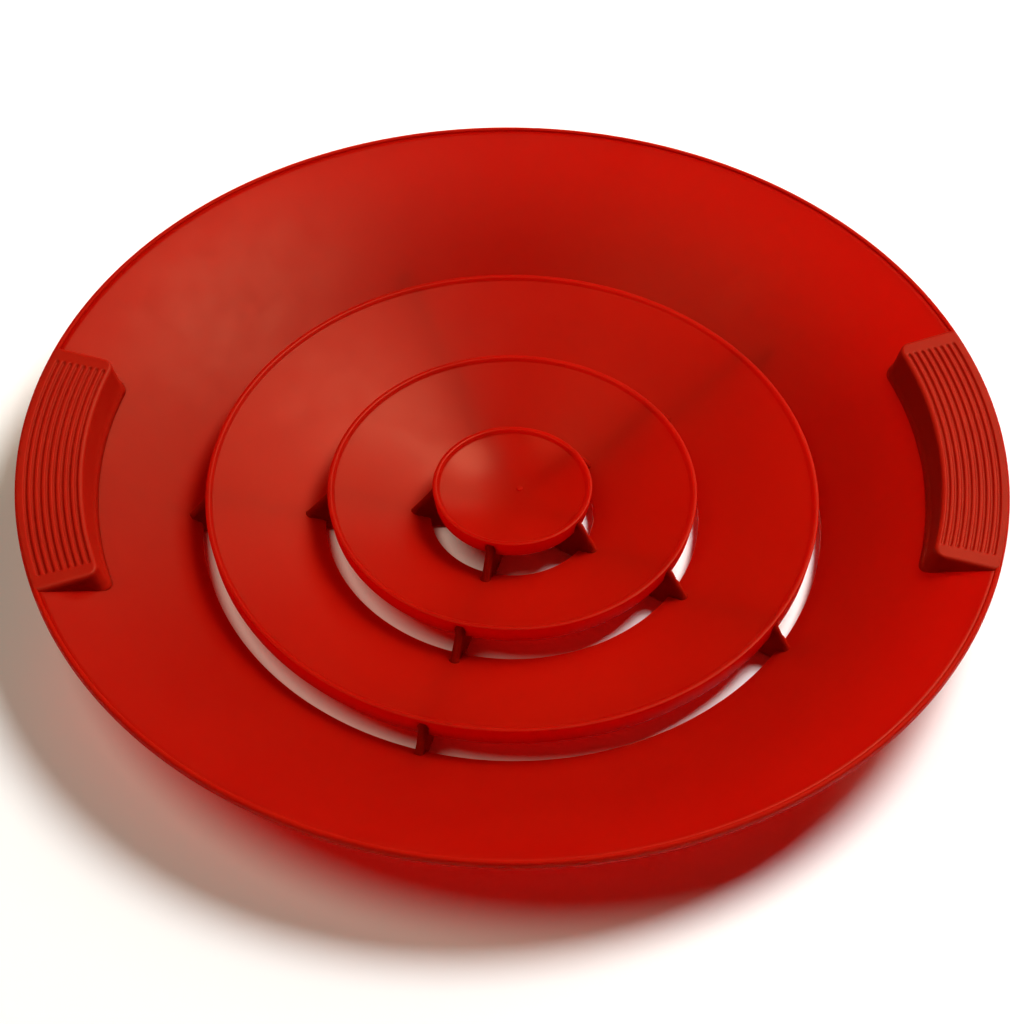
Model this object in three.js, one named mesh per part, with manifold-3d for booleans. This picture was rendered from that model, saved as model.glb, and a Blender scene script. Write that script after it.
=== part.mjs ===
// A vented pan guard moulded in red silicone: a shallow dish that lies over a pan like a lid.
// Its floor is a stack of louvres. Each inner ring ends in a wall that stands above the hole of the
// next ring out, so steam leaves sideways between them, and splashes run back down the slopes.
// Five radial ribs under the rings carry the stack. Two grooved wedges inside the rim are the grips.
// Millimetres, +Z up. The origin is on the surface that the guard rests on, below the disc's middle.
// The grips lie on the X axis, and one rib points along -X.
import * as THREE from "three";
import { mergeVertices } from "three/addons/utils/BufferGeometryUtils.js";
import Module from "manifold-3d";

const wasm = await Module();
wasm.setup();

// ---- Driving dimensions ----
const OUTER_RADIUS = 145;
const HEIGHT = 30.5; // resting surface to the top of the outer rim
const WALL = 2.4; // thickness of the silicone
const CLEARANCE = 0.3; // between pieces that touch

const HOLE_LEVEL = 4.8; // upper edge of every ring's central hole
const LIP_WIDTH = 1.6; // bead along each ring's outer edge
const LIP_RISE = 0.7; // how far the bead stands above the ring's slope
const EDGE_WALL = 2.2; // thickness of the wall that hangs from each ring's outer edge
// of each ring: radius of its hole and outer edge, level of the bead on that edge, height of the wall
// below the bead, and how far the ribs' gussets reach over the next ring out
const DISC = { hole: 0, edge: 23.8, level: 17.4, wall: 5.8, reach: 5.7 };
const MIDDLE_RING = { hole: 24.3, edge: 54.9, level: 16.5, wall: 6.0, reach: 5.7 };
const OUTER_RING = { hole: 55.7, edge: 90.9, level: 16.2, wall: 6.8, reach: 3.6 };
const DISC_SAG = 5.0; // the disc is a shallow bowl
const DISH_HOLE = 92.2;
const DISH_BULGE = 1.6; // how far the dish stands above the straight line from hole to rim
const ROUND = WALL / 4; // width of the narrow faces that round off an edge

const RIM_WIDTH = 2.2; // the thickened bead round the dish
const RIM_HEIGHT = 2.8;

const RIB_COUNT = 5;
const RIB_WIDTH = 2.2;
const RIB_FIRST_ANGLE = Math.PI; // the first rib points at the middle of the left grip
const RIB_END = 104; // radius where the ribs run out under the dish
const RIB_END_FOOT = 97; // radius where their lower edge starts to rise
const RIB_END_HEIGHT = 1;
const GUSSET_DROP = 0.9; // top of a gusset below the bead of the ring that it props up
const RIB_INNER = 5.6; // radius where the ribs meet the hub
const HUB_RADIUS = 5.3;

const GRIP_INNER_RADIUS = 125.1;
const GRIP_FOOT_RADIUS = 122.4; // its inner wall leans in as it goes down
const GRIP_HALF_ANGLE = THREE.MathUtils.degToRad(19.6);
const GRIP_CORNER = 3.2; // radius of its two inner corners in plan
const GROOVE_COUNT = 8;
const GROOVE_WIDTH = 1.05;
const GROOVE_DEPTH = 0.8;
const GROOVE_FIRST_RADIUS = 127.4;
const GROOVE_LAST_RADIUS = 141.8;
const GROOVE_HALF_ANGLE = THREE.MathUtils.degToRad(17.2);

const LATHE_STEPS = 72; // straight steps round a full turn
const DISC_STEPS = 48;
const HUB_STEPS = 24;
const GRIP_STEPS = 12; // straight steps along a grip
const CURVE_STEPS = 5; // straight steps along a curved section
const CUT_MARGIN = 2; // how far a cutter runs past what it cuts
const MERGE_DISTANCE = 1e-4;

// ---- Material ----
const RED = 0xb01408;
const GRIP_RED = 0xa81609;
const ROUGHNESS = 0.45;
const silicone = (colour) =>
  new THREE.MeshStandardMaterial({
    color: colour,
    roughness: ROUGHNESS,
    metalness: 0,
  });

// ---- Solids ----
// A closed geometry as a manifold-3d solid.
function solidOf(geometry) {
  const bare = geometry.clone();
  bare.deleteAttribute("normal");
  bare.deleteAttribute("uv");
  const merged = mergeVertices(bare, MERGE_DISTANCE);
  return new wasm.Manifold(
    new wasm.Mesh({
      numProp: 3,
      vertProperties: new Float32Array(merged.attributes.position.array),
      triVerts: new Uint32Array(merged.index.array),
    }),
  );
}

// A manifold-3d solid as a geometry with flat faces.
function geometryOf(solid) {
  const { vertProperties, triVerts } = solid.getMesh();
  const geometry = new THREE.BufferGeometry();
  geometry.setAttribute(
    "position",
    new THREE.BufferAttribute(vertProperties, 3),
  );
  geometry.setIndex(new THREE.BufferAttribute(triVerts, 1));
  const faceted = geometry.toNonIndexed();
  faceted.computeVertexNormals();
  return faceted;
}

// A solid of revolution about Z from its half section, [radius, height] points that run anticlockwise.
function turned(section, steps = LATHE_STEPS) {
  const outline = section.map(([r, z]) => new THREE.Vector2(r, z));
  const first = outline[0];
  if (first.x > 0) outline.push(first.clone());
  return new THREE.LatheGeometry(outline, steps).rotateX(Math.PI / 2);
}

// A flat outline in plan or section, extruded by a depth.
function extruded(points, depth) {
  const shape = new THREE.Shape(points.map(([x, y]) => new THREE.Vector2(x, y)));
  return new THREE.ExtrudeGeometry(shape, { depth, bevelEnabled: false });
}

// ---- Sections ----
const lerp = THREE.MathUtils.lerp;

// Height of the top of an inner ring's slope at a radius.
function slopeLevel({ hole, edge, level }, radius) {
  const top = level - LIP_RISE;
  if (hole === 0)
    return top - DISC_SAG * (1 - (radius / (edge - LIP_WIDTH)) ** 2);
  return lerp(HOLE_LEVEL, top, (radius - hole) / (edge - LIP_WIDTH - hole));
}

// Height of the dish's top at a radius: a straight slope with a slight outward bulge.
function dishLevel(radius) {
  const end = OUTER_RADIUS - RIM_WIDTH;
  const share = (radius - DISH_HOLE) / (end - DISH_HOLE);
  return (
    lerp(HOLE_LEVEL, HEIGHT - LIP_RISE, share) + 4 * DISH_BULGE * share * (1 - share)
  );
}

const spread = (from, to, count) =>
  Array.from({ length: count + 1 }, (_, i) => lerp(from, to, i / count));

// The outer edge of a ring or the disc: from under the slope, down and round the wall, and over the bead.
function edgeSection(ring) {
  const { edge, level, wall } = ring;
  const inside = edge - EDGE_WALL;
  const bottom = level - wall;
  const bead = edge - LIP_WIDTH;
  return [
    [inside, slopeLevel(ring, inside) - WALL],
    [inside, bottom + ROUND],
    [inside + ROUND, bottom],
    [edge - ROUND, bottom],
    [edge, bottom + ROUND],
    [edge, level - ROUND],
    [edge - ROUND, level],
    [bead + ROUND, level],
    [bead, slopeLevel(ring, bead)],
  ];
}

// The middle and outer louvre rings: a cone with a bead and a hanging wall at its outer edge.
function ringSection(ring) {
  const start = ring.hole + ROUND;
  return [
    [start, slopeLevel(ring, start) - WALL],
    ...edgeSection(ring),
    [start, slopeLevel(ring, start)],
    [ring.hole, HOLE_LEVEL - ROUND],
    [ring.hole, HOLE_LEVEL - WALL + ROUND],
  ];
}

// The centre disc: a shallow bowl with the same bead and wall.
function discSection(disc) {
  const { edge } = disc;
  const under = spread(0, edge - EDGE_WALL, CURVE_STEPS).map((r) => [
    r,
    slopeLevel(disc, r) - WALL,
  ]);
  const bowl = spread(edge - LIP_WIDTH, 0, CURVE_STEPS).map((r) => [
    r,
    slopeLevel(disc, r),
  ]);
  return [...under.slice(0, -1), ...edgeSection(disc), ...bowl.slice(1)];
}

// The dish from its hole out to the rim bead.
function dishSection() {
  const end = OUTER_RADIUS - RIM_WIDTH - CLEARANCE;
  const radii = spread(DISH_HOLE + ROUND, end, CURVE_STEPS);
  return [
    ...radii.map((r) => [r, dishLevel(r) - WALL]),
    ...radii.toReversed().map((r) => [r, dishLevel(r)]),
    [DISH_HOLE, HOLE_LEVEL - ROUND],
    [DISH_HOLE, HOLE_LEVEL - WALL + ROUND],
  ];
}

// The thickened bead that finishes the dish.
function rimSection() {
  const inner = OUTER_RADIUS - RIM_WIDTH;
  const round = RIM_WIDTH / 4;
  return [
    [inner + round, HEIGHT - RIM_HEIGHT],
    [OUTER_RADIUS - round, HEIGHT - RIM_HEIGHT],
    [OUTER_RADIUS, HEIGHT - RIM_HEIGHT + round],
    [OUTER_RADIUS, HEIGHT - round],
    [OUTER_RADIUS - round, HEIGHT],
    [inner + round, HEIGHT],
    [inner, HEIGHT - round],
    [inner, HEIGHT - RIM_HEIGHT + round],
  ];
}

// ---- Ribs ----
// One rib in side view: a straight foot, and a stepped top that follows the undersides of the disc and
// the rings. Past each of their walls it rises as a gusset, which slants down to the next ring's slope.
function ribOutline() {
  const gap = CLEARANCE;
  const under = (top) => top - WALL - gap;
  // the rib's top from under the edge of one ring to the hole of the next
  const step = (ring, hole, top) => {
    const { edge, level, wall, reach } = ring;
    const inside = edge - EDGE_WALL - gap;
    const outside = edge + gap;
    const bottom = level - wall - gap;
    const tip = hole + reach;
    return [
      [inside, under(slopeLevel(ring, inside))],
      [inside, bottom],
      [outside, bottom],
      [outside, level - GUSSET_DROP],
      [tip, top(tip) + 2 * gap],
      [tip, top(tip) + gap],
      [hole - gap, HOLE_LEVEL + gap],
      [hole - gap, under(HOLE_LEVEL)],
    ];
  };
  const outerTop = (r) => slopeLevel(OUTER_RING, r);
  const middleTop = (r) => slopeLevel(MIDDLE_RING, r);
  const underDisc = spread(RIB_INNER, DISC.edge - EDGE_WALL - gap, CURVE_STEPS);
  const top = [
    ...underDisc.slice(0, -1).map((r) => [r, under(slopeLevel(DISC, r))]),
    ...step(DISC, MIDDLE_RING.hole, middleTop),
    ...step(MIDDLE_RING, OUTER_RING.hole, outerTop),
    ...step(OUTER_RING, DISH_HOLE, dishLevel),
    [RIB_END, under(dishLevel(RIB_END))],
    [RIB_END, under(dishLevel(RIB_END)) - RIB_END_HEIGHT],
  ];
  return [[RIB_INNER, 0], [RIB_END_FOOT, 0], ...top.toReversed()];
}

function ribGeometry() {
  return extruded(ribOutline(), RIB_WIDTH)
    .translate(0, 0, -RIB_WIDTH / 2)
    .rotateX(Math.PI / 2);
}

// ---- Grips ----
// The grip in plan: an arc band with rounded inner corners, cut just inside the rim bead.
function gripPlan(innerRadius, outerRadius, halfAngle, corner) {
  const shape = new THREE.Shape();
  const turn = corner / innerRadius;
  const at = (r, a) => [r * Math.cos(a), r * Math.sin(a)];
  shape.moveTo(...at(outerRadius, -halfAngle));
  shape.absarc(0, 0, outerRadius, -halfAngle, halfAngle, false);
  shape.lineTo(...at(innerRadius + corner, halfAngle));
  shape.quadraticCurveTo(
    ...at(innerRadius, halfAngle),
    ...at(innerRadius, halfAngle - turn),
  );
  shape.absarc(0, 0, innerRadius, halfAngle - turn, -halfAngle + turn, true);
  shape.quadraticCurveTo(
    ...at(innerRadius, -halfAngle),
    ...at(innerRadius + corner, -halfAngle),
  );
  return shape;
}

// A block with level faces at two heights, whose inner wall leans from the foot radius to the top one.
function gripBlock() {
  const foot = dishLevel(GRIP_FOOT_RADIUS);
  const outer = OUTER_RADIUS - RIM_WIDTH - CLEARANCE;
  const plan = gripPlan(
    GRIP_INNER_RADIUS,
    outer,
    GRIP_HALF_ANGLE,
    GRIP_CORNER,
  );
  const block = new THREE.ExtrudeGeometry(plan, {
    depth: HEIGHT - foot,
    bevelEnabled: false,
    curveSegments: GRIP_STEPS,
  });
  block.translate(0, 0, foot);
  // move the foot of the inner wall in
  const position = block.attributes.position;
  const lean = GRIP_FOOT_RADIUS / GRIP_INNER_RADIUS;
  for (let i = 0; i < position.count; i++) {
    const x = position.getX(i);
    const y = position.getY(i);
    const isInner = Math.hypot(x, y) < (GRIP_INNER_RADIUS + outer) / 2;
    const isFoot = position.getZ(i) < (foot + HEIGHT) / 2;
    if (isInner && isFoot) {
      position.setXY(i, x * lean, y * lean);
    }
  }
  return block;
}

// The space below and inside the grip: everything under the dish's top, plus the clearance.
function dishCutter() {
  const radii = spread(GRIP_FOOT_RADIUS - CUT_MARGIN, OUTER_RADIUS + CUT_MARGIN, 2 * CURVE_STEPS);
  return turned([
    [radii[0], 0],
    [radii.at(-1), 0],
    ...radii
      .toReversed()
      .map((r) => [
        r,
        dishLevel(Math.min(r, OUTER_RADIUS - RIM_WIDTH)) + CLEARANCE,
      ]),
  ]);
}

// One concentric groove in the grip's top.
function groove(radius) {
  const halfWidth = GROOVE_WIDTH / 2;
  const plan = gripPlan(
    radius - halfWidth,
    radius + halfWidth,
    GROOVE_HALF_ANGLE,
    halfWidth / 2,
  );
  return new THREE.ExtrudeGeometry(plan, {
    depth: 2 * GROOVE_DEPTH,
    bevelEnabled: false,
    curveSegments: GRIP_STEPS,
  }).translate(0, 0, HEIGHT - GROOVE_DEPTH);
}

function gripGeometry() {
  let grip = solidOf(gripBlock()).subtract(solidOf(dishCutter()));
  const pitch =
    (GROOVE_LAST_RADIUS - GROOVE_FIRST_RADIUS) / (GROOVE_COUNT - 1);
  for (let i = 0; i < GROOVE_COUNT; i++) {
    grip = grip.subtract(solidOf(groove(GROOVE_FIRST_RADIUS + i * pitch)));
  }
  return geometryOf(grip);
}

// ---- The ribs' hub, below the middle of the disc ----
function hubGeometry() {
  const top = slopeLevel(DISC, 0) - WALL - CLEARANCE;
  return turned(
    [
      [0, 0],
      [HUB_RADIUS, 0],
      [HUB_RADIUS, top],
      [0, top],
    ],
    HUB_STEPS,
  );
}

// ---- Assembly ----
const guard = new THREE.Group();

function add(name, geometry, material, angle = 0) {
  const mesh = new THREE.Mesh(geometry, material);
  mesh.name = name;
  mesh.rotation.z = angle;
  guard.add(mesh);
}

const red = silicone(RED);
const gripRed = silicone(GRIP_RED);

add("outer_dish", turned(dishSection()), red);
add("rim_bead", turned(rimSection()), red);
add("outer_louvre_ring", turned(ringSection(OUTER_RING)), red);
add("middle_louvre_ring", turned(ringSection(MIDDLE_RING)), red);
add("centre_disc", turned(discSection(DISC), DISC_STEPS), red);
add("rib_hub", hubGeometry(), red);
for (let i = 0; i < RIB_COUNT; i++) {
  const angle = RIB_FIRST_ANGLE + (i * 2 * Math.PI) / RIB_COUNT;
  add(`radial_rib_${i + 1}`, ribGeometry(), red, angle);
}
add("right_grip", gripGeometry(), gripRed, 0);
add("left_grip", gripGeometry(), gripRed, Math.PI);

export default guard;
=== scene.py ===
"""A vented silicone pan guard: the moulded surfaces, materials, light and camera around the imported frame.

Every visible piece is a fine mesh that stands for one CAD node, apart from the gate mark, which the CAD
leaves out. Metres, +Z up, in the frame's own axes.
"""

import math

import bmesh
import bpy
from mathutils import Matrix, Vector
from mathutils.geometry import delaunay_2d_cdt


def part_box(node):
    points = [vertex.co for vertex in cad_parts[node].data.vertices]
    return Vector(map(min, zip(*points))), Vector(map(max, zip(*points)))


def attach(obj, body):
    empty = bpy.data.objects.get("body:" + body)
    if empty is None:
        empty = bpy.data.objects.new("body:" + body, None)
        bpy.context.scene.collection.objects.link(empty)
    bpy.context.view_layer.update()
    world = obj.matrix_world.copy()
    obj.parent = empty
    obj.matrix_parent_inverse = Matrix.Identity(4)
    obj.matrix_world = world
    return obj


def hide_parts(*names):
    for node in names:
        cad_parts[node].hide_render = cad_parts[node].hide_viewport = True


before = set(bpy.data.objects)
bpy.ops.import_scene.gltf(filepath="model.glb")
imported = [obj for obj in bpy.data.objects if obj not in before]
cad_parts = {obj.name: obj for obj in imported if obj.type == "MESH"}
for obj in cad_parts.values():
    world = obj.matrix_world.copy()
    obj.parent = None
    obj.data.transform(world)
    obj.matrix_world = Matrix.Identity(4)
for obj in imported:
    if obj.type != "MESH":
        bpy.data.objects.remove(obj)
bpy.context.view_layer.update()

MM = 0.001
BODY = "root"

# ---- Sizes read from the frame ----


def profile(node):
    """(distance from the Z axis, height) of a node's vertices."""
    return [(math.hypot(v.co.x, v.co.y), v.co.z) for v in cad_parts[node].data.vertices]


def radii(node):
    """The smallest and largest distance of a node's vertices from the Z axis."""
    distances = [r for r, _ in profile(node)]
    return min(distances), max(distances)


OUTER_RADIUS = radii("rim_bead")[1]
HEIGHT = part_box("rim_bead")[1].z
DISH_HOLE = radii("outer_dish")[0]

# ---- Sizes of the moulding ----

WALL = 2.4 * MM
HOLE_LEVEL = 4.8 * MM  # upper edge of every ring's hole
SKIRT_WIDTH = 2.2 * MM  # of the short wall that hangs from each ring's outer edge
SKIRT_TAPER = 0.9 * MM  # how far that wall leans in towards its bottom
LIP_WIDTH = 1.5 * MM  # of the bead along each ring's outer edge
LIP_RISE = 0.7 * MM  # of the bead above the slope inside it
LIP_CREST = 0.2 * MM  # how far outside the bead's inner line its level top starts
LIP_RUNOUT = 0.7 * MM  # how far inside that line the bead has run out into the slope
HOLE_ROUND = 1.0 * MM  # rounding of a hole's upper edge
HOLE_UNDER_ROUND = 0.8 * MM  # and of its lower edge
DISC_SAG = 5.0 * MM
DISC_BOWL = 0.86  # share of the disc's radius that is bowl, up to where its bead runs out
DISH_BULGE = 1.6 * MM
DISH_HOLE_RUN = 1.5 * MM  # from the dish's hole to where its curved slope starts
CURVE_STEPS = 14  # faces across the disc's bowl; the dish has twice as many
RIM_WIDTH = 1.6 * MM
RIM_HEIGHT = 2.8 * MM
RIM_ROUND = 1.05 * MM  # rounding of the rim bead's upper edges
RIM_INNER_ROUND = 0.9 * MM  # of its lower inner edge
RIM_OUTER_ROUND = 0.8 * MM  # and of its lower outer edge
RIM_END = OUTER_RADIUS - RIM_WIDTH  # where the dish's slope meets the rim bead
EMBED = 0.5 * MM  # how far one region of the moulding runs into the next, where they are fused

GATE_RADIUS = 0.9 * MM  # of the small round scar that the moulding gate leaves on the disc
GATE_RISE = 0.3 * MM
GATE_ROUND = 0.25 * MM
GATE_PLACE = (2.3 * MM, 3.4 * MM)

RIB_HALF_WIDTH = 1.1 * MM
RIB_COUNT = 5
GUSSET_DROP = 0.9 * MM  # top of a gusset below the bead of the ring that it props up
GUSSET_TIP = 0.25 * MM  # the tip's height above the next ring's top
GUSSET_TOE = 0.3 * MM  # how far past the tip the gusset's edge has sunk into that ring
RIB_INNER = 3.0 * MM  # where a rib starts, inside the hub
RIB_END = 104 * MM
RIB_END_FOOT = 97 * MM  # where its slanted end meets the lower edge
RIB_FILLET = 0.7 * MM  # flare where it meets a ring
RIB_ROUND = 0.9 * MM  # rounding of its free edges
RIB_BORDER_SPACING = 0.6 * MM  # between mesh points along a rib's outline
RIB_GRID_SPACING = 0.75 * MM  # and inside it
RIB_GRID_CLEARANCE = 0.35 * MM  # from the outline to the nearest point inside it
HUB_RADIUS = 5.3 * MM
HUB_ROUND = 0.6 * MM  # rounding of the hub's lower edge

GRIP_FOOT = 122.4 * MM  # radius of the inner wall's foot
GRIP_TOP = 125.1 * MM  # and of its top
GRIP_HALF_ANGLE = math.radians(19.6)
GRIP_OUTER = OUTER_RADIUS - 0.55 * MM  # outer edge of its top, inside the rim bead's rounding
GRIP_CORNER = 4.2 * MM  # rounding of the inner corners, seen from above
GRIP_ROUND = 1.3 * MM  # rounding of the upper edges
GRIP_FLARE = 0.9 * MM  # how far the inner wall runs out at its foot
GRIP_END_SHARE = 0.16  # share of a grip's half length, at its end, that has closer mesh columns
GRIP_END_COLUMNS = 22
GRIP_COLUMNS = 20
GRIP_TOP_STEPS = 120
GRIP_ROUND_STEPS = 5
GRIP_WALL_STEPS = 8
GRIP_UNDER_STEPS = 12
GROOVE_COUNT = 8
GROOVE_FIRST = 127.3 * MM
GROOVE_LAST = 141.9 * MM
GROOVE_WIDTH = 1.2 * MM
GROOVE_DEPTH = 0.65 * MM
GROOVE_BOTTOM = 0.35  # share of a groove's half width that is at full depth
GROOVE_FLANK = 0.85  # share over which it rises to the top, a little past its edge
GROOVE_HALF_ANGLE = math.radians(17.2)

TURN_STEPS = 360  # faces round a full turn
AXIS_TOLERANCE = 1e-7  # a turned point nearer the axis than this is on it


def mix(a, b, share):
    """The value a share of the way from a to b."""
    return a + (b - a) * share


def round_off(distance, radius):
    """How much a rounded edge takes away at a distance from it, from its radius down to nothing."""
    if distance >= radius:
        return 0.0
    rest = 1 - distance / radius
    return radius * (1 - math.sqrt(max(0.0, 1 - rest * rest)))


class Ring:
    """A louvre ring or the disc: hole, outer edge, bead level and wall's bottom, from its CAD node.

    reach is how far the ribs' gussets carry on from it over the next ring out.
    """

    def __init__(self, node, reach):
        self.node = node
        self.reach = reach
        smallest, self.edge = radii(node)
        self.hole = smallest if smallest > MM else 0.0
        self.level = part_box(node)[1].z
        self.bottom = min(z for r, z in profile(node) if r > self.edge - LIP_WIDTH)

    def slope(self, radius):
        """Height of its top at a radius."""
        top = self.level - LIP_RISE
        inner = self.edge - LIP_WIDTH
        if self.hole == 0:
            return top - DISC_SAG * (1 - (radius / inner) ** 2)
        return mix(HOLE_LEVEL, top, (radius - self.hole) / (inner - self.hole))


DISC = Ring("centre_disc", reach=5.7 * MM)
MIDDLE = Ring("middle_louvre_ring", reach=5.7 * MM)
OUTER = Ring("outer_louvre_ring", reach=3.6 * MM)


def dish_level(radius):
    """Height of the dish's top: a slope with a slight outward bulge."""
    share = (radius - DISH_HOLE) / (RIM_END - DISH_HOLE)
    return mix(HOLE_LEVEL, HEIGHT - LIP_RISE, share) + 4 * DISH_BULGE * share * (1 - share)


# ---- Mesh helpers ----


def rounded(corners, steps=5):
    """A closed outline of (x, y, radius) corners, with each corner turned into an arc."""
    points = []
    count = len(corners)
    for i, (x, y, radius) in enumerate(corners):
        here = Vector((x, y))
        back = Vector(corners[i - 1][:2]) - here
        ahead = Vector(corners[(i + 1) % count][:2]) - here
        if radius <= 0:
            points.append(tuple(here))
            continue
        half = back.angle(ahead) / 2
        reach = min(radius / math.tan(half), 0.49 * back.length, 0.49 * ahead.length)
        start = here + back.normalized() * reach
        stop = here + ahead.normalized() * reach
        for j in range(steps + 1):
            t = j / steps
            points.append(tuple((1 - t) ** 2 * start + 2 * t * (1 - t) * here + t * t * stop))
    return points


def new_object(name, bm):
    """A smooth-shaded object from a bmesh, which is freed."""
    mesh = bpy.data.meshes.new(name)
    bm.to_mesh(mesh)
    bm.free()
    mesh.shade_smooth()
    piece = bpy.data.objects.new(name, mesh)
    bpy.context.scene.collection.objects.link(piece)
    return piece


def turned(name, outline, steps=TURN_STEPS):
    """A solid of revolution from a closed outline of (radius, height) points; it may run along the axis."""
    bm = bmesh.new()
    columns = []
    on_axis = {}
    for k in range(steps):
        c, s = math.cos(2 * math.pi * k / steps), math.sin(2 * math.pi * k / steps)
        column = []
        for i, (r, z) in enumerate(outline):
            if r < AXIS_TOLERANCE:
                if i not in on_axis:
                    on_axis[i] = bm.verts.new((0, 0, z))
                column.append(on_axis[i])
            else:
                column.append(bm.verts.new((r * c, r * s, z)))
        columns.append(column)
    count = len(outline)
    for k in range(steps):
        a, b = columns[k], columns[(k + 1) % steps]
        for i in range(count):
            j = (i + 1) % count
            face = []
            for v in (a[i], b[i], b[j], a[j]):
                if v not in face:
                    face.append(v)
            if len(face) > 2:
                bm.faces.new(face)
    bmesh.ops.recalc_face_normals(bm, faces=bm.faces)
    return new_object(name, bm)


# ---- Turned pieces ----


def curve_points(level, start, stop, steps):
    """(radius, level(radius)) points from one radius to another."""
    return [(r, level(r)) for r in (mix(start, stop, i / steps) for i in range(steps + 1))]


def edge_corners(ring):
    """Outline of a ring's outer edge, from under the slope round its wall and over the bead to the top.

    The third number of each corner is its rounding.
    """
    inside = ring.edge - SKIRT_WIDTH
    inner = ring.edge - LIP_WIDTH
    return [
        (inside, ring.slope(inside) - WALL, 1.2 * MM),
        (inside, ring.bottom, 0.6 * MM),
        (ring.edge - SKIRT_TAPER, ring.bottom, 0.6 * MM),
        (ring.edge, ring.level, 0.8 * MM),
        (inner + LIP_CREST, ring.level, 0.9 * MM),
        (inner - LIP_RUNOUT, ring.slope(inner - LIP_RUNOUT), 1.2 * MM),
    ]


def ring_piece(ring):
    """A louvre ring: its conical top, bead, short outer wall and underside."""
    hole = [
        (ring.hole, HOLE_LEVEL, HOLE_ROUND),
        (ring.hole, HOLE_LEVEL - WALL, HOLE_UNDER_ROUND),
    ]
    return turned(ring.node + "_skin", rounded(hole + edge_corners(ring)))


def disc_piece():
    """The centre disc: a shallow bowl with a bead and a short wall."""
    end = DISC_BOWL * DISC.edge
    top = [(end, DISC.slope(end), 0)]
    underside = [(end, DISC.slope(end) - WALL, 0)]
    edge = rounded(underside + edge_corners(DISC) + top)
    bowl = curve_points(DISC.slope, end, 0, CURVE_STEPS)[1:]
    under = [(r, z - WALL) for r, z in curve_points(DISC.slope, 0, end, CURVE_STEPS)[:-1]]
    return turned("centre_disc_skin", edge + bowl + under)


def dish_piece():
    """The dish from its hole to just inside the rim bead, which hides its outer edge."""
    start = DISH_HOLE + DISH_HOLE_RUN
    end = RIM_END + EMBED
    steps = 2 * CURVE_STEPS
    hole = rounded(
        [
            (start, dish_level(start), 0),
            (DISH_HOLE, HOLE_LEVEL, HOLE_ROUND),
            (DISH_HOLE, HOLE_LEVEL - WALL, HOLE_UNDER_ROUND),
            (start, dish_level(start) - WALL, 0),
        ]
    )
    top = curve_points(dish_level, end, start, steps)[:-1]
    under = [(r, z - WALL) for r, z in curve_points(dish_level, start, end, steps)[1:]]
    return turned("outer_dish_skin", top + hole + under)


def rim_piece():
    """The thickened bead round the dish, rounded all over."""
    bottom = HEIGHT - RIM_HEIGHT
    outline = rounded(
        [
            (RIM_END, bottom, RIM_INNER_ROUND),
            (OUTER_RADIUS, bottom, RIM_OUTER_ROUND),
            (OUTER_RADIUS, HEIGHT, RIM_ROUND),
            (RIM_END, HEIGHT, RIM_ROUND),
        ]
    )
    return turned("rim_bead_skin", outline, steps=2 * TURN_STEPS)


def gate_mark():
    """The small round scar of the moulding gate on the disc, a little off its centre."""
    outline = rounded(
        [
            (GATE_RADIUS, -GATE_RISE, 0),
            (GATE_RADIUS, GATE_RISE, GATE_ROUND),
            (0, GATE_RISE, 0),
            (0, -GATE_RISE, 0),
        ]
    )
    mark = turned("gate_mark", outline, steps=32)
    place = Vector((*GATE_PLACE, 0))
    place.z = DISC.slope(place.length)
    mark.data.transform(Matrix.Translation(place))
    return mark


def hub_piece():
    """The boss under the disc where the ribs meet."""
    top = DISC.slope(0) - WALL + EMBED
    outline = rounded([(HUB_RADIUS, 0, HUB_ROUND), (HUB_RADIUS, top, 0), (0, top, 0), (0, 0, 0)])
    return turned("rib_hub_skin", outline, steps=72)


# ---- Ribs ----


def rib_outline():
    """A rib in side view, as (radius, height, is_free) points.

    is_free marks a point whose edge to the next one is not fused with a ring.
    """

    def step(ring, hole, top):
        """The rib's upper edge from under one ring's wall, up and down its gusset, to the next ring's hole."""
        tip = hole + ring.reach
        bottom = ring.bottom + EMBED
        return [
            (ring.edge - SKIRT_WIDTH + EMBED, bottom, False),
            (ring.edge - SKIRT_TAPER - EMBED, bottom, False),
            (ring.edge - EMBED, ring.level - GUSSET_DROP, True),
            (tip, top(tip) + GUSSET_TIP, True),
            (tip + GUSSET_TOE, top(tip) - EMBED, False),
            (hole + EMBED, HOLE_LEVEL - EMBED, False),
            (hole + EMBED, HOLE_LEVEL - WALL + EMBED, False),
        ]

    def under(ring, radius):
        """A point just inside the underside of a ring's slope."""
        return (radius, ring.slope(radius) - WALL + EMBED, False)

    def wall_start(ring):
        """Radius just inside the inner face of a ring's wall."""
        return ring.edge - SKIRT_WIDTH + EMBED

    return [
        *[under(DISC, mix(RIB_INNER, wall_start(DISC), i / 6)) for i in range(7)],
        *step(DISC, MIDDLE.hole, MIDDLE.slope),
        under(MIDDLE, wall_start(MIDDLE)),
        *step(MIDDLE, OUTER.hole, OUTER.slope),
        under(OUTER, wall_start(OUTER)),
        *step(OUTER, DISH_HOLE, dish_level),
        (RIB_END, dish_level(RIB_END) - WALL + EMBED, True),
        (RIB_END, dish_level(RIB_END) - WALL - MM, True),
        (RIB_END_FOOT, 0.0, True),
        (RIB_INNER, 0.0, False),
    ]


def resampled(outline, spacing):
    """The same outline with points about a spacing apart; each new point keeps its edge's flag."""
    points = []
    for i, (x, y, free) in enumerate(outline):
        nx, ny, _ = outline[(i + 1) % len(outline)]
        steps = max(1, round(math.hypot(nx - x, ny - y) / spacing))
        points += [(mix(x, nx, j / steps), mix(y, ny, j / steps), free) for j in range(steps)]
    return points


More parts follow.
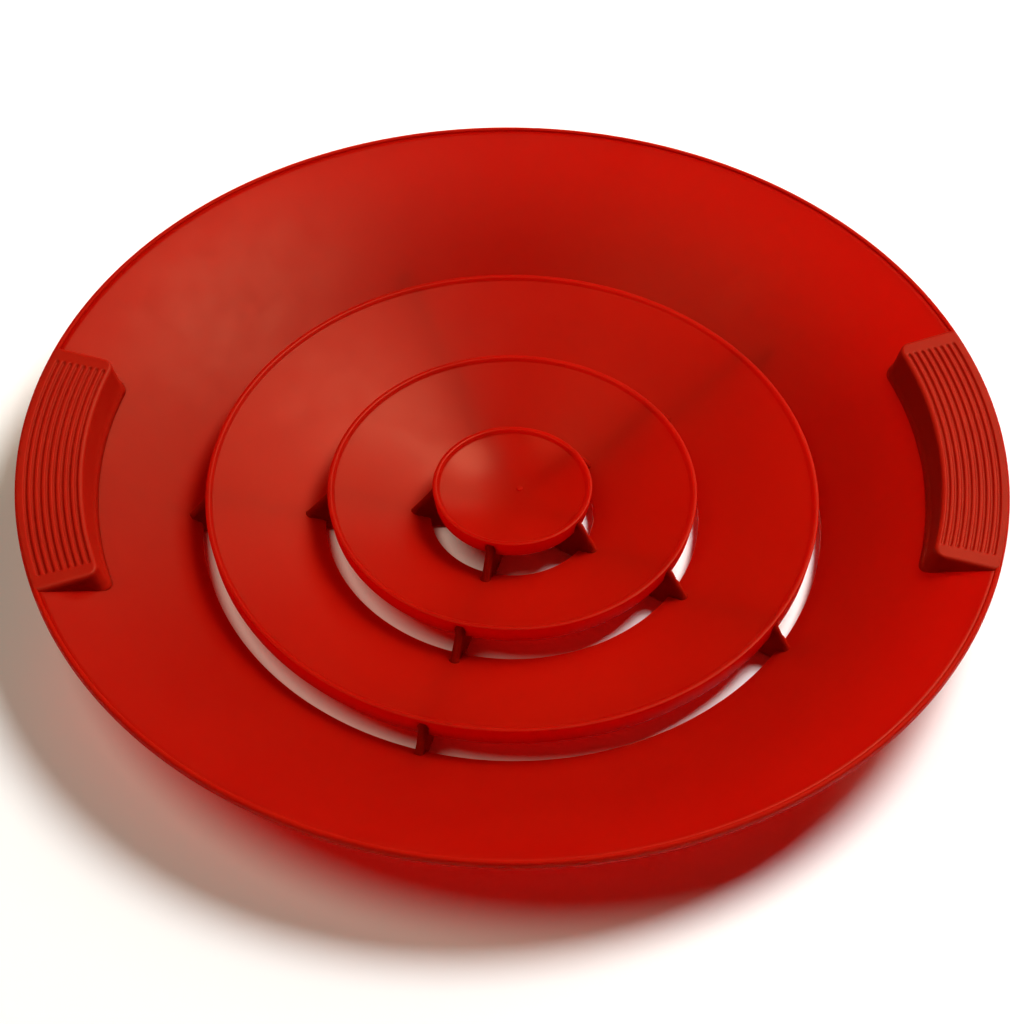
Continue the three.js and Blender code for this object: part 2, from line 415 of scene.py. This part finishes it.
def distance_to(point, edges):
    """Distance from a point to the nearest of some (start, stop) edges, or 1 m if that is nearer."""
    best = 1.0
    for a, b in edges:
        run = b - a
        share = max(0.0, min(1.0, (point - a).dot(run) / run.length_squared))
        best = min(best, (point - a - run * share).length)
    return best


def rib_half_width(point, fused_edges, free_edges):
    """Half the rib's thickness: flared where it meets a ring, rounded off along a free edge."""
    fused = max(distance_to(point, fused_edges) - EMBED, 0.0)
    free = distance_to(point, free_edges)
    return RIB_HALF_WIDTH + round_off(fused, RIB_FILLET) - round_off(free, RIB_ROUND)


def triangulated(border):
    """(points, triangles) of the region inside a border, with a staggered grid of points inside it."""
    spacing = RIB_GRID_SPACING
    width = max(p.x for p in border)
    height = max(p.y for p in border)
    inside = []
    for i in range(1, int(width / spacing)):
        for j in range(1, int(height / spacing) + 1):
            inside.append(Vector(((i + 0.5 * (j % 2)) * spacing, j * spacing * 0.9)))
    border_edges = list(zip(border, border[1:] + border[:1]))
    inside = [p for p in inside if distance_to(p, border_edges) > RIB_GRID_CLEARANCE]
    count = len(border)
    loop = list(range(count))
    steps = [(i, (i + 1) % count) for i in loop]
    points, _, faces, *_ = delaunay_2d_cdt(border + inside, steps, [loop], 1, 1e-7)
    return points, faces


def rib_mesh():
    """One rib along +X: its side view in triangles, thick on both sides and closed round its edge."""
    outline = rib_outline()
    corners = [Vector((x, y)) for x, y, _ in outline]
    edges = list(zip(corners, corners[1:] + corners[:1], [free for _, _, free in outline]))
    fused_edges = [(a, b) for a, b, free in edges if not free]
    free_edges = [(a, b) for a, b, free in edges if free]
    border = [Vector((x, y)) for x, y, _ in resampled(outline, RIB_BORDER_SPACING)]
    points, faces = triangulated(border)
    bm = bmesh.new()
    sides = []
    for sign in (1, -1):
        sides.append(
            [bm.verts.new((p.x, sign * rib_half_width(p, fused_edges, free_edges), p.y)) for p in points]
        )
    for face in faces:
        bm.faces.new([sides[0][i] for i in face])
        bm.faces.new([sides[1][i] for i in reversed(face)])
    used = {i for face in faces for i in face}
    # an edge that no face runs along the other way is on the outline, and gets a face between the sides
    runs = dict.fromkeys(run for face in faces for run in zip(face, face[1:] + face[:1]))
    for i, j in runs:
        if (j, i) not in runs:
            bm.faces.new((sides[0][j], sides[0][i], sides[1][i], sides[1][j]))
    for side in sides:
        for i, vert in enumerate(side):
            if i not in used:
                bm.verts.remove(vert)
    bmesh.ops.recalc_face_normals(bm, faces=bm.faces)
    return bm


def rib_pieces():
    """Five ribs from one mesh, each turned to its own angle."""
    base = rib_mesh()
    pieces = []
    for i in range(RIB_COUNT):
        turn = Matrix.Rotation(math.pi + i * 2 * math.pi / RIB_COUNT, 4, "Z")
        copy = base.copy()
        copy.transform(turn)
        piece = new_object(f"radial_rib_{i + 1}_skin", copy)
        pieces.append((piece, f"radial_rib_{i + 1}"))
    base.free()
    return pieces


# ---- Grips ----


def smooth(share):
    """An even 0 to 1 step, eased at both ends."""
    share = max(0.0, min(1.0, share))
    return share * share * (3 - 2 * share)


def groove_depth(radius, angle):
    """How deep the grooved field is cut at a place on the grip's top."""
    pitch = (GROOVE_LAST - GROOVE_FIRST) / (GROOVE_COUNT - 1)
    index = max(0, min(GROOVE_COUNT - 1, round((radius - GROOVE_FIRST) / pitch)))
    middle = GROOVE_FIRST + index * pitch
    end = max(0.0, (abs(angle) - GROOVE_HALF_ANGLE) * radius)
    distance = math.hypot(radius - middle, end) / (GROOVE_WIDTH / 2)
    return GROOVE_DEPTH * (1 - smooth((distance - GROOVE_BOTTOM) / GROOVE_FLANK))


def grip_columns():
    """Angles of the mesh columns along a grip, close together at its ends."""
    steps = range(GRIP_END_COLUMNS + 1)
    ends = [GRIP_HALF_ANGLE * (1 - GRIP_END_SHARE * (i / GRIP_END_COLUMNS)) for i in steps]
    middle = [ends[-1] * (1 - i / GRIP_COLUMNS) for i in range(1, GRIP_COLUMNS)]
    half = ends + middle
    return [-a for a in half] + [0.0] + half[::-1]


def sunk_level(radius):
    """Height of the grips' hidden underside, which follows the dish a little below its top."""
    return dish_level(min(radius, RIM_END)) - EMBED


def grip_section(angle):
    """(radius, height) points round the grip at an angle: top, inner wall, then back along the underside."""
    from_end = GRIP_HALF_ANGLE * GRIP_TOP - abs(angle * GRIP_TOP)
    cut = round_off(from_end, GRIP_CORNER)
    drop = round_off(from_end, GRIP_ROUND)
    top_edge = GRIP_TOP + GRIP_ROUND + cut
    section = []
    for i in range(GRIP_TOP_STEPS + 1):
        r = max(mix(GRIP_OUTER, GRIP_TOP + GRIP_ROUND, i / GRIP_TOP_STEPS), top_edge)
        section.append((r, max(HEIGHT - groove_depth(r, angle) - drop, sunk_level(r))))
    for i in range(1, GRIP_ROUND_STEPS + 1):
        turn = math.pi / 2 * i / GRIP_ROUND_STEPS
        fall = GRIP_ROUND * (1 - math.cos(turn))
        section.append((top_edge - GRIP_ROUND * math.sin(turn), HEIGHT - drop - fall))
    wall_r, wall_z = section[-1]
    foot_r = GRIP_FOOT + cut
    foot_z = sunk_level(foot_r)
    for i in range(1, GRIP_WALL_STEPS + 1):
        share = i / GRIP_WALL_STEPS
        flare = GRIP_FLARE * max(0.0, (share - 0.7) / 0.3) ** 2
        section.append((mix(wall_r, foot_r, share) - flare, mix(wall_z, foot_z, share)))
    for i in range(1, GRIP_UNDER_STEPS + 1):
        r = mix(foot_r, GRIP_OUTER, i / GRIP_UNDER_STEPS)
        section.append((r, sunk_level(r)))
    return section


def grip_mesh():
    """The right grip: a level grooved top flush with the rim, a leaning inner wall and two end walls."""
    bm = bmesh.new()
    rows = []
    for angle in grip_columns():
        c, s = math.cos(angle), math.sin(angle)
        rows.append([bm.verts.new((r * c, r * s, z)) for r, z in grip_section(angle)])
    count = len(rows[0])
    for a, b in zip(rows, rows[1:]):
        for i in range(count):
            j = (i + 1) % count
            bm.faces.new((a[i], b[i], b[j], a[j]))
    bm.faces.new(rows[0])
    bm.faces.new(list(reversed(rows[-1])))
    bmesh.ops.remove_doubles(bm, verts=bm.verts, dist=0.002 * MM)
    bmesh.ops.recalc_face_normals(bm, faces=bm.faces)
    return bm


def grip_pieces():
    """Both grips from one mesh."""
    base = grip_mesh()
    pieces = []
    for name, angle in (("right_grip", 0.0), ("left_grip", math.pi)):
        copy = base.copy()
        copy.transform(Matrix.Rotation(angle, 4, "Z"))
        pieces.append((new_object(name + "_skin", copy), name))
    base.free()
    return pieces


# ---- Materials ----

# share of the light that passes through a piece's surfaces
THIN = 0.52  # the dish
WALLED = 0.5  # the rings and the disc, whose edge walls double up
BEADED = 0.3  # the rim
THICK = 0.1  # the ribs, the hub and the grips

PIGMENT = (0.44, 0.0056, 0.0013)
PIGMENT_CLOUDED = (0.47, 0.0072, 0.0016)  # where the pigment has mixed in less evenly
PASSED_LIGHT = (0.98, 0.009, 0.002, 1)
SHEEN_TINT = (1.0, 0.44, 0.21, 1)
GRAIN = 0.25


def silicone(name, roughness, translucency, painted_lightness, gloss=0.34, grain=GRAIN):
    """Red silicone with a satin surface and a fine moulded grain.

    translucency is the share of the light that passes through, and the lightness number scales the pigment for
    each piece: painted light and shade, set so each piece looks as bright as the light falls on it.
    """
    material = bpy.data.materials.new(name)
    material.use_nodes = True
    nodes, links = material.node_tree.nodes, material.node_tree.links
    shader = nodes["Principled BSDF"]
    shader.inputs["Subsurface Weight"].default_value = 1.0
    shader.inputs["Subsurface Radius"].default_value = (1.0, 0.12, 0.06)
    shader.inputs["Subsurface Scale"].default_value = 2 * MM
    shader.inputs["IOR"].default_value = 1.41
    shader.inputs["Specular IOR Level"].default_value = gloss
    shader.inputs["Specular Tint"].default_value = SHEEN_TINT

    place = nodes.new("ShaderNodeTexCoord")

    def noise(scale, detail, rough=0.5):
        """A noise texture fixed to the object."""
        texture = nodes.new("ShaderNodeTexNoise")
        texture.inputs["Scale"].default_value = scale
        texture.inputs["Detail"].default_value = detail
        texture.inputs["Roughness"].default_value = rough
        links.new(place.outputs["Object"], texture.inputs["Vector"])
        return texture.outputs["Fac"]

    def spread(value, low, high):
        """Noise stretched from its usual range to low to high."""
        remap = nodes.new("ShaderNodeMapRange")
        remap.inputs["From Min"].default_value = 0.3
        remap.inputs["From Max"].default_value = 0.7
        remap.inputs["To Min"].default_value = low
        remap.inputs["To Max"].default_value = high
        links.new(value, remap.inputs["Value"])
        return remap.outputs["Result"]

    # the pigment, made lighter or darker for each piece: painted light and shade
    colour = nodes.new("ShaderNodeMix")
    colour.data_type = "RGBA"
    colour.inputs["A"].default_value = (*(painted_lightness * c for c in PIGMENT), 1)
    colour.inputs["B"].default_value = (*(painted_lightness * c for c in PIGMENT_CLOUDED), 1)
    # soft clouds in the pigment, patches of a little more or less polish, and the moulded grain
    links.new(spread(noise(38, 4), 0.0, 1.0), colour.inputs["Factor"])
    links.new(colour.outputs["Result"], shader.inputs["Base Color"])
    links.new(spread(noise(90, 3), roughness - 0.03, roughness + 0.03), shader.inputs["Roughness"])
    bump = nodes.new("ShaderNodeBump")
    bump.inputs["Strength"].default_value = grain
    bump.inputs["Distance"].default_value = 0.05 * MM
    links.new(noise(1400, 2, 0.6), bump.inputs["Height"])
    links.new(bump.outputs["Normal"], shader.inputs["Normal"])

    glow = nodes.new("ShaderNodeBsdfTranslucent")
    glow.inputs["Color"].default_value = PASSED_LIGHT
    share = nodes.new("ShaderNodeMixShader")
    share.inputs["Fac"].default_value = translucency
    links.new(shader.outputs["BSDF"], share.inputs[1])
    links.new(glow.outputs["BSDF"], share.inputs[2])
    links.new(share.outputs["Shader"], nodes["Material Output"].inputs["Surface"])
    return material


def plain(name, colour, roughness):
    """A material of one colour."""
    material = bpy.data.materials.new(name)
    material.use_nodes = True
    shader = material.node_tree.nodes["Principled BSDF"]
    shader.inputs["Base Color"].default_value = (*colour, 1)
    shader.inputs["Roughness"].default_value = roughness
    return material


# ---- Stage, lights and camera ----

VIEW_TURN = math.radians(-2.7)  # the guard lies a little turned to the camera
VIEW_ELEVATION = math.radians(47.4)
VIEW_TILT = math.radians(-1.106)
VIEW_ROLL = math.radians(0.802)
VIEW_DISTANCE = 6.0 * OUTER_RADIUS
LENS = 104.4  # mm, on a sensor 36 mm wide
RIM_CENTRE = Vector((0, 0, HEIGHT))

FLOOR_HALF_SIZE = 4.0  # metres
FLOOR_LEVEL = -0.2 * MM  # just below the part's lowest faces
FLOOR_WHITE = (0.92, 0.92, 0.92)

WARM_WHITE = (1.0, 0.92, 0.72)
CARD_WHITE = (1.0, 0.9, 0.62)
WORLD_WHITE = (1.0, 0.9, 0.6, 1)
WORLD_STRENGTH = 0.01


def direction(azimuth, elevation):
    """Unit vector from the object, with azimuth in degrees from the camera's right-hand side."""
    a = math.radians(azimuth) + VIEW_TURN
    e = math.radians(elevation)
    return Vector((math.cos(a) * math.cos(e), math.sin(a) * math.cos(e), math.sin(e)))


def area_light(name, azimuth, elevation, distance, size, irradiance, colour=(1, 1, 1)):
    """A round softbox facing the object, with its strength given as the irradiance at the object's centre."""
    data = bpy.data.lights.new(name, "AREA")
    data.shape = "DISK"
    data.size = size
    data.energy = irradiance * math.pi * distance**2
    data.color = colour
    light = bpy.data.objects.new(name, data)
    towards = direction(azimuth, elevation)
    light.location = towards * distance
    light.rotation_euler = towards.to_track_quat("Z", "Y").to_euler()
    bpy.context.scene.collection.objects.link(light)


def floor():
    """The plain pale floor."""
    bm = bmesh.new()
    bmesh.ops.create_grid(bm, x_segments=2, y_segments=2, size=FLOOR_HALF_SIZE)
    bmesh.ops.translate(bm, verts=bm.verts, vec=(0, 0, FLOOR_LEVEL))
    piece = new_object("studio_floor", bm)
    piece.data.materials.append(plain("studio_white", FLOOR_WHITE, roughness=0.9))


def camera():
    """The photo's camera: above the guard's front, aimed a little off the rim's centre."""
    data = bpy.data.cameras.new("photo_camera")
    data.sensor_width = 36
    data.lens = LENS
    data.clip_start = 0.05
    back = -VIEW_DISTANCE * math.cos(VIEW_ELEVATION)
    up = VIEW_DISTANCE * math.sin(VIEW_ELEVATION)
    place = Matrix.Translation((0, back, up))
    facing = Matrix.Rotation(math.pi / 2 - VIEW_ELEVATION, 4, "X")
    tilt = Matrix.Rotation(VIEW_TILT, 4, "X")
    roll = Matrix.Rotation(VIEW_ROLL, 4, "Z")
    turn = Matrix.Rotation(VIEW_TURN, 4, "Z")
    camera_object = bpy.data.objects.new("photo_camera", data)
    aim = Matrix.Translation(RIM_CENTRE) @ turn
    camera_object.matrix_world = aim @ place @ facing @ tilt @ roll
    bpy.context.scene.collection.objects.link(camera_object)
    bpy.context.scene.camera = camera_object


def light():
    """A near key from the back right, a fill from the left and a low card, with hardly any light besides."""
    area_light("key_softbox", azimuth=30, elevation=59.5, distance=1.62, size=0.68, irradiance=3.5)
    area_light(
        "left_fill", azimuth=189, elevation=65, distance=3.2, size=1.8, irradiance=0.98, colour=WARM_WHITE
    )
    area_light(
        "low_card", azimuth=52, elevation=38, distance=3.6, size=2.2, irradiance=1.15, colour=CARD_WHITE
    )
    world = bpy.data.worlds.new("studio")
    world.use_nodes = True
    background = world.node_tree.nodes["Background"]
    background.inputs["Color"].default_value = WORLD_WHITE
    background.inputs["Strength"].default_value = WORLD_STRENGTH
    bpy.context.scene.world = world
    bpy.context.scene.view_settings.view_transform = "Standard"


# ---- Assembly ----


def dress(piece, node, material):
    """Puts a finished piece on the frame in place of its CAD node."""
    piece.data.materials.append(material)
    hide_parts(node)
    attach(piece, BODY)


camera()
light()
floor()

# one silicone throughout: each piece's lightness number is painted light and shade, making it lighter or
# darker to match how it is lit, and partly evening out its translucency share
body_silicone = silicone("red_silicone", roughness=0.39, translucency=THIN, painted_lightness=0.78)
rim_silicone = silicone("red_silicone_rim", roughness=0.5, translucency=BEADED, painted_lightness=0.9, gloss=0.08)
ring_silicone = silicone("red_silicone_ring", roughness=0.37, translucency=WALLED, painted_lightness=0.98)
disc_silicone = silicone("red_silicone_disc", roughness=0.31, translucency=WALLED, painted_lightness=1.08)
# the ribs' pigment at 0.6 is painted shade for their shaded pockets under the rings
rib_silicone = silicone("red_silicone_rib", roughness=0.6, translucency=THICK, painted_lightness=0.6, gloss=0.06)
grip_silicone = silicone("red_silicone_grip", roughness=0.5, translucency=THICK, painted_lightness=0.75, grain=0.3)

dress(dish_piece(), "outer_dish", body_silicone)
dress(rim_piece(), "rim_bead", rim_silicone)
dress(ring_piece(OUTER), "outer_louvre_ring", ring_silicone)
dress(ring_piece(MIDDLE), "middle_louvre_ring", ring_silicone)
dress(disc_piece(), "centre_disc", disc_silicone)
mark = gate_mark()
mark.data.materials.append(disc_silicone)
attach(mark, BODY)
dress(hub_piece(), "rib_hub", rib_silicone)
for rib, rib_node in rib_pieces():
    dress(rib, rib_node, rib_silicone)
for grip, grip_node in grip_pieces():
    dress(grip, grip_node, grip_silicone)
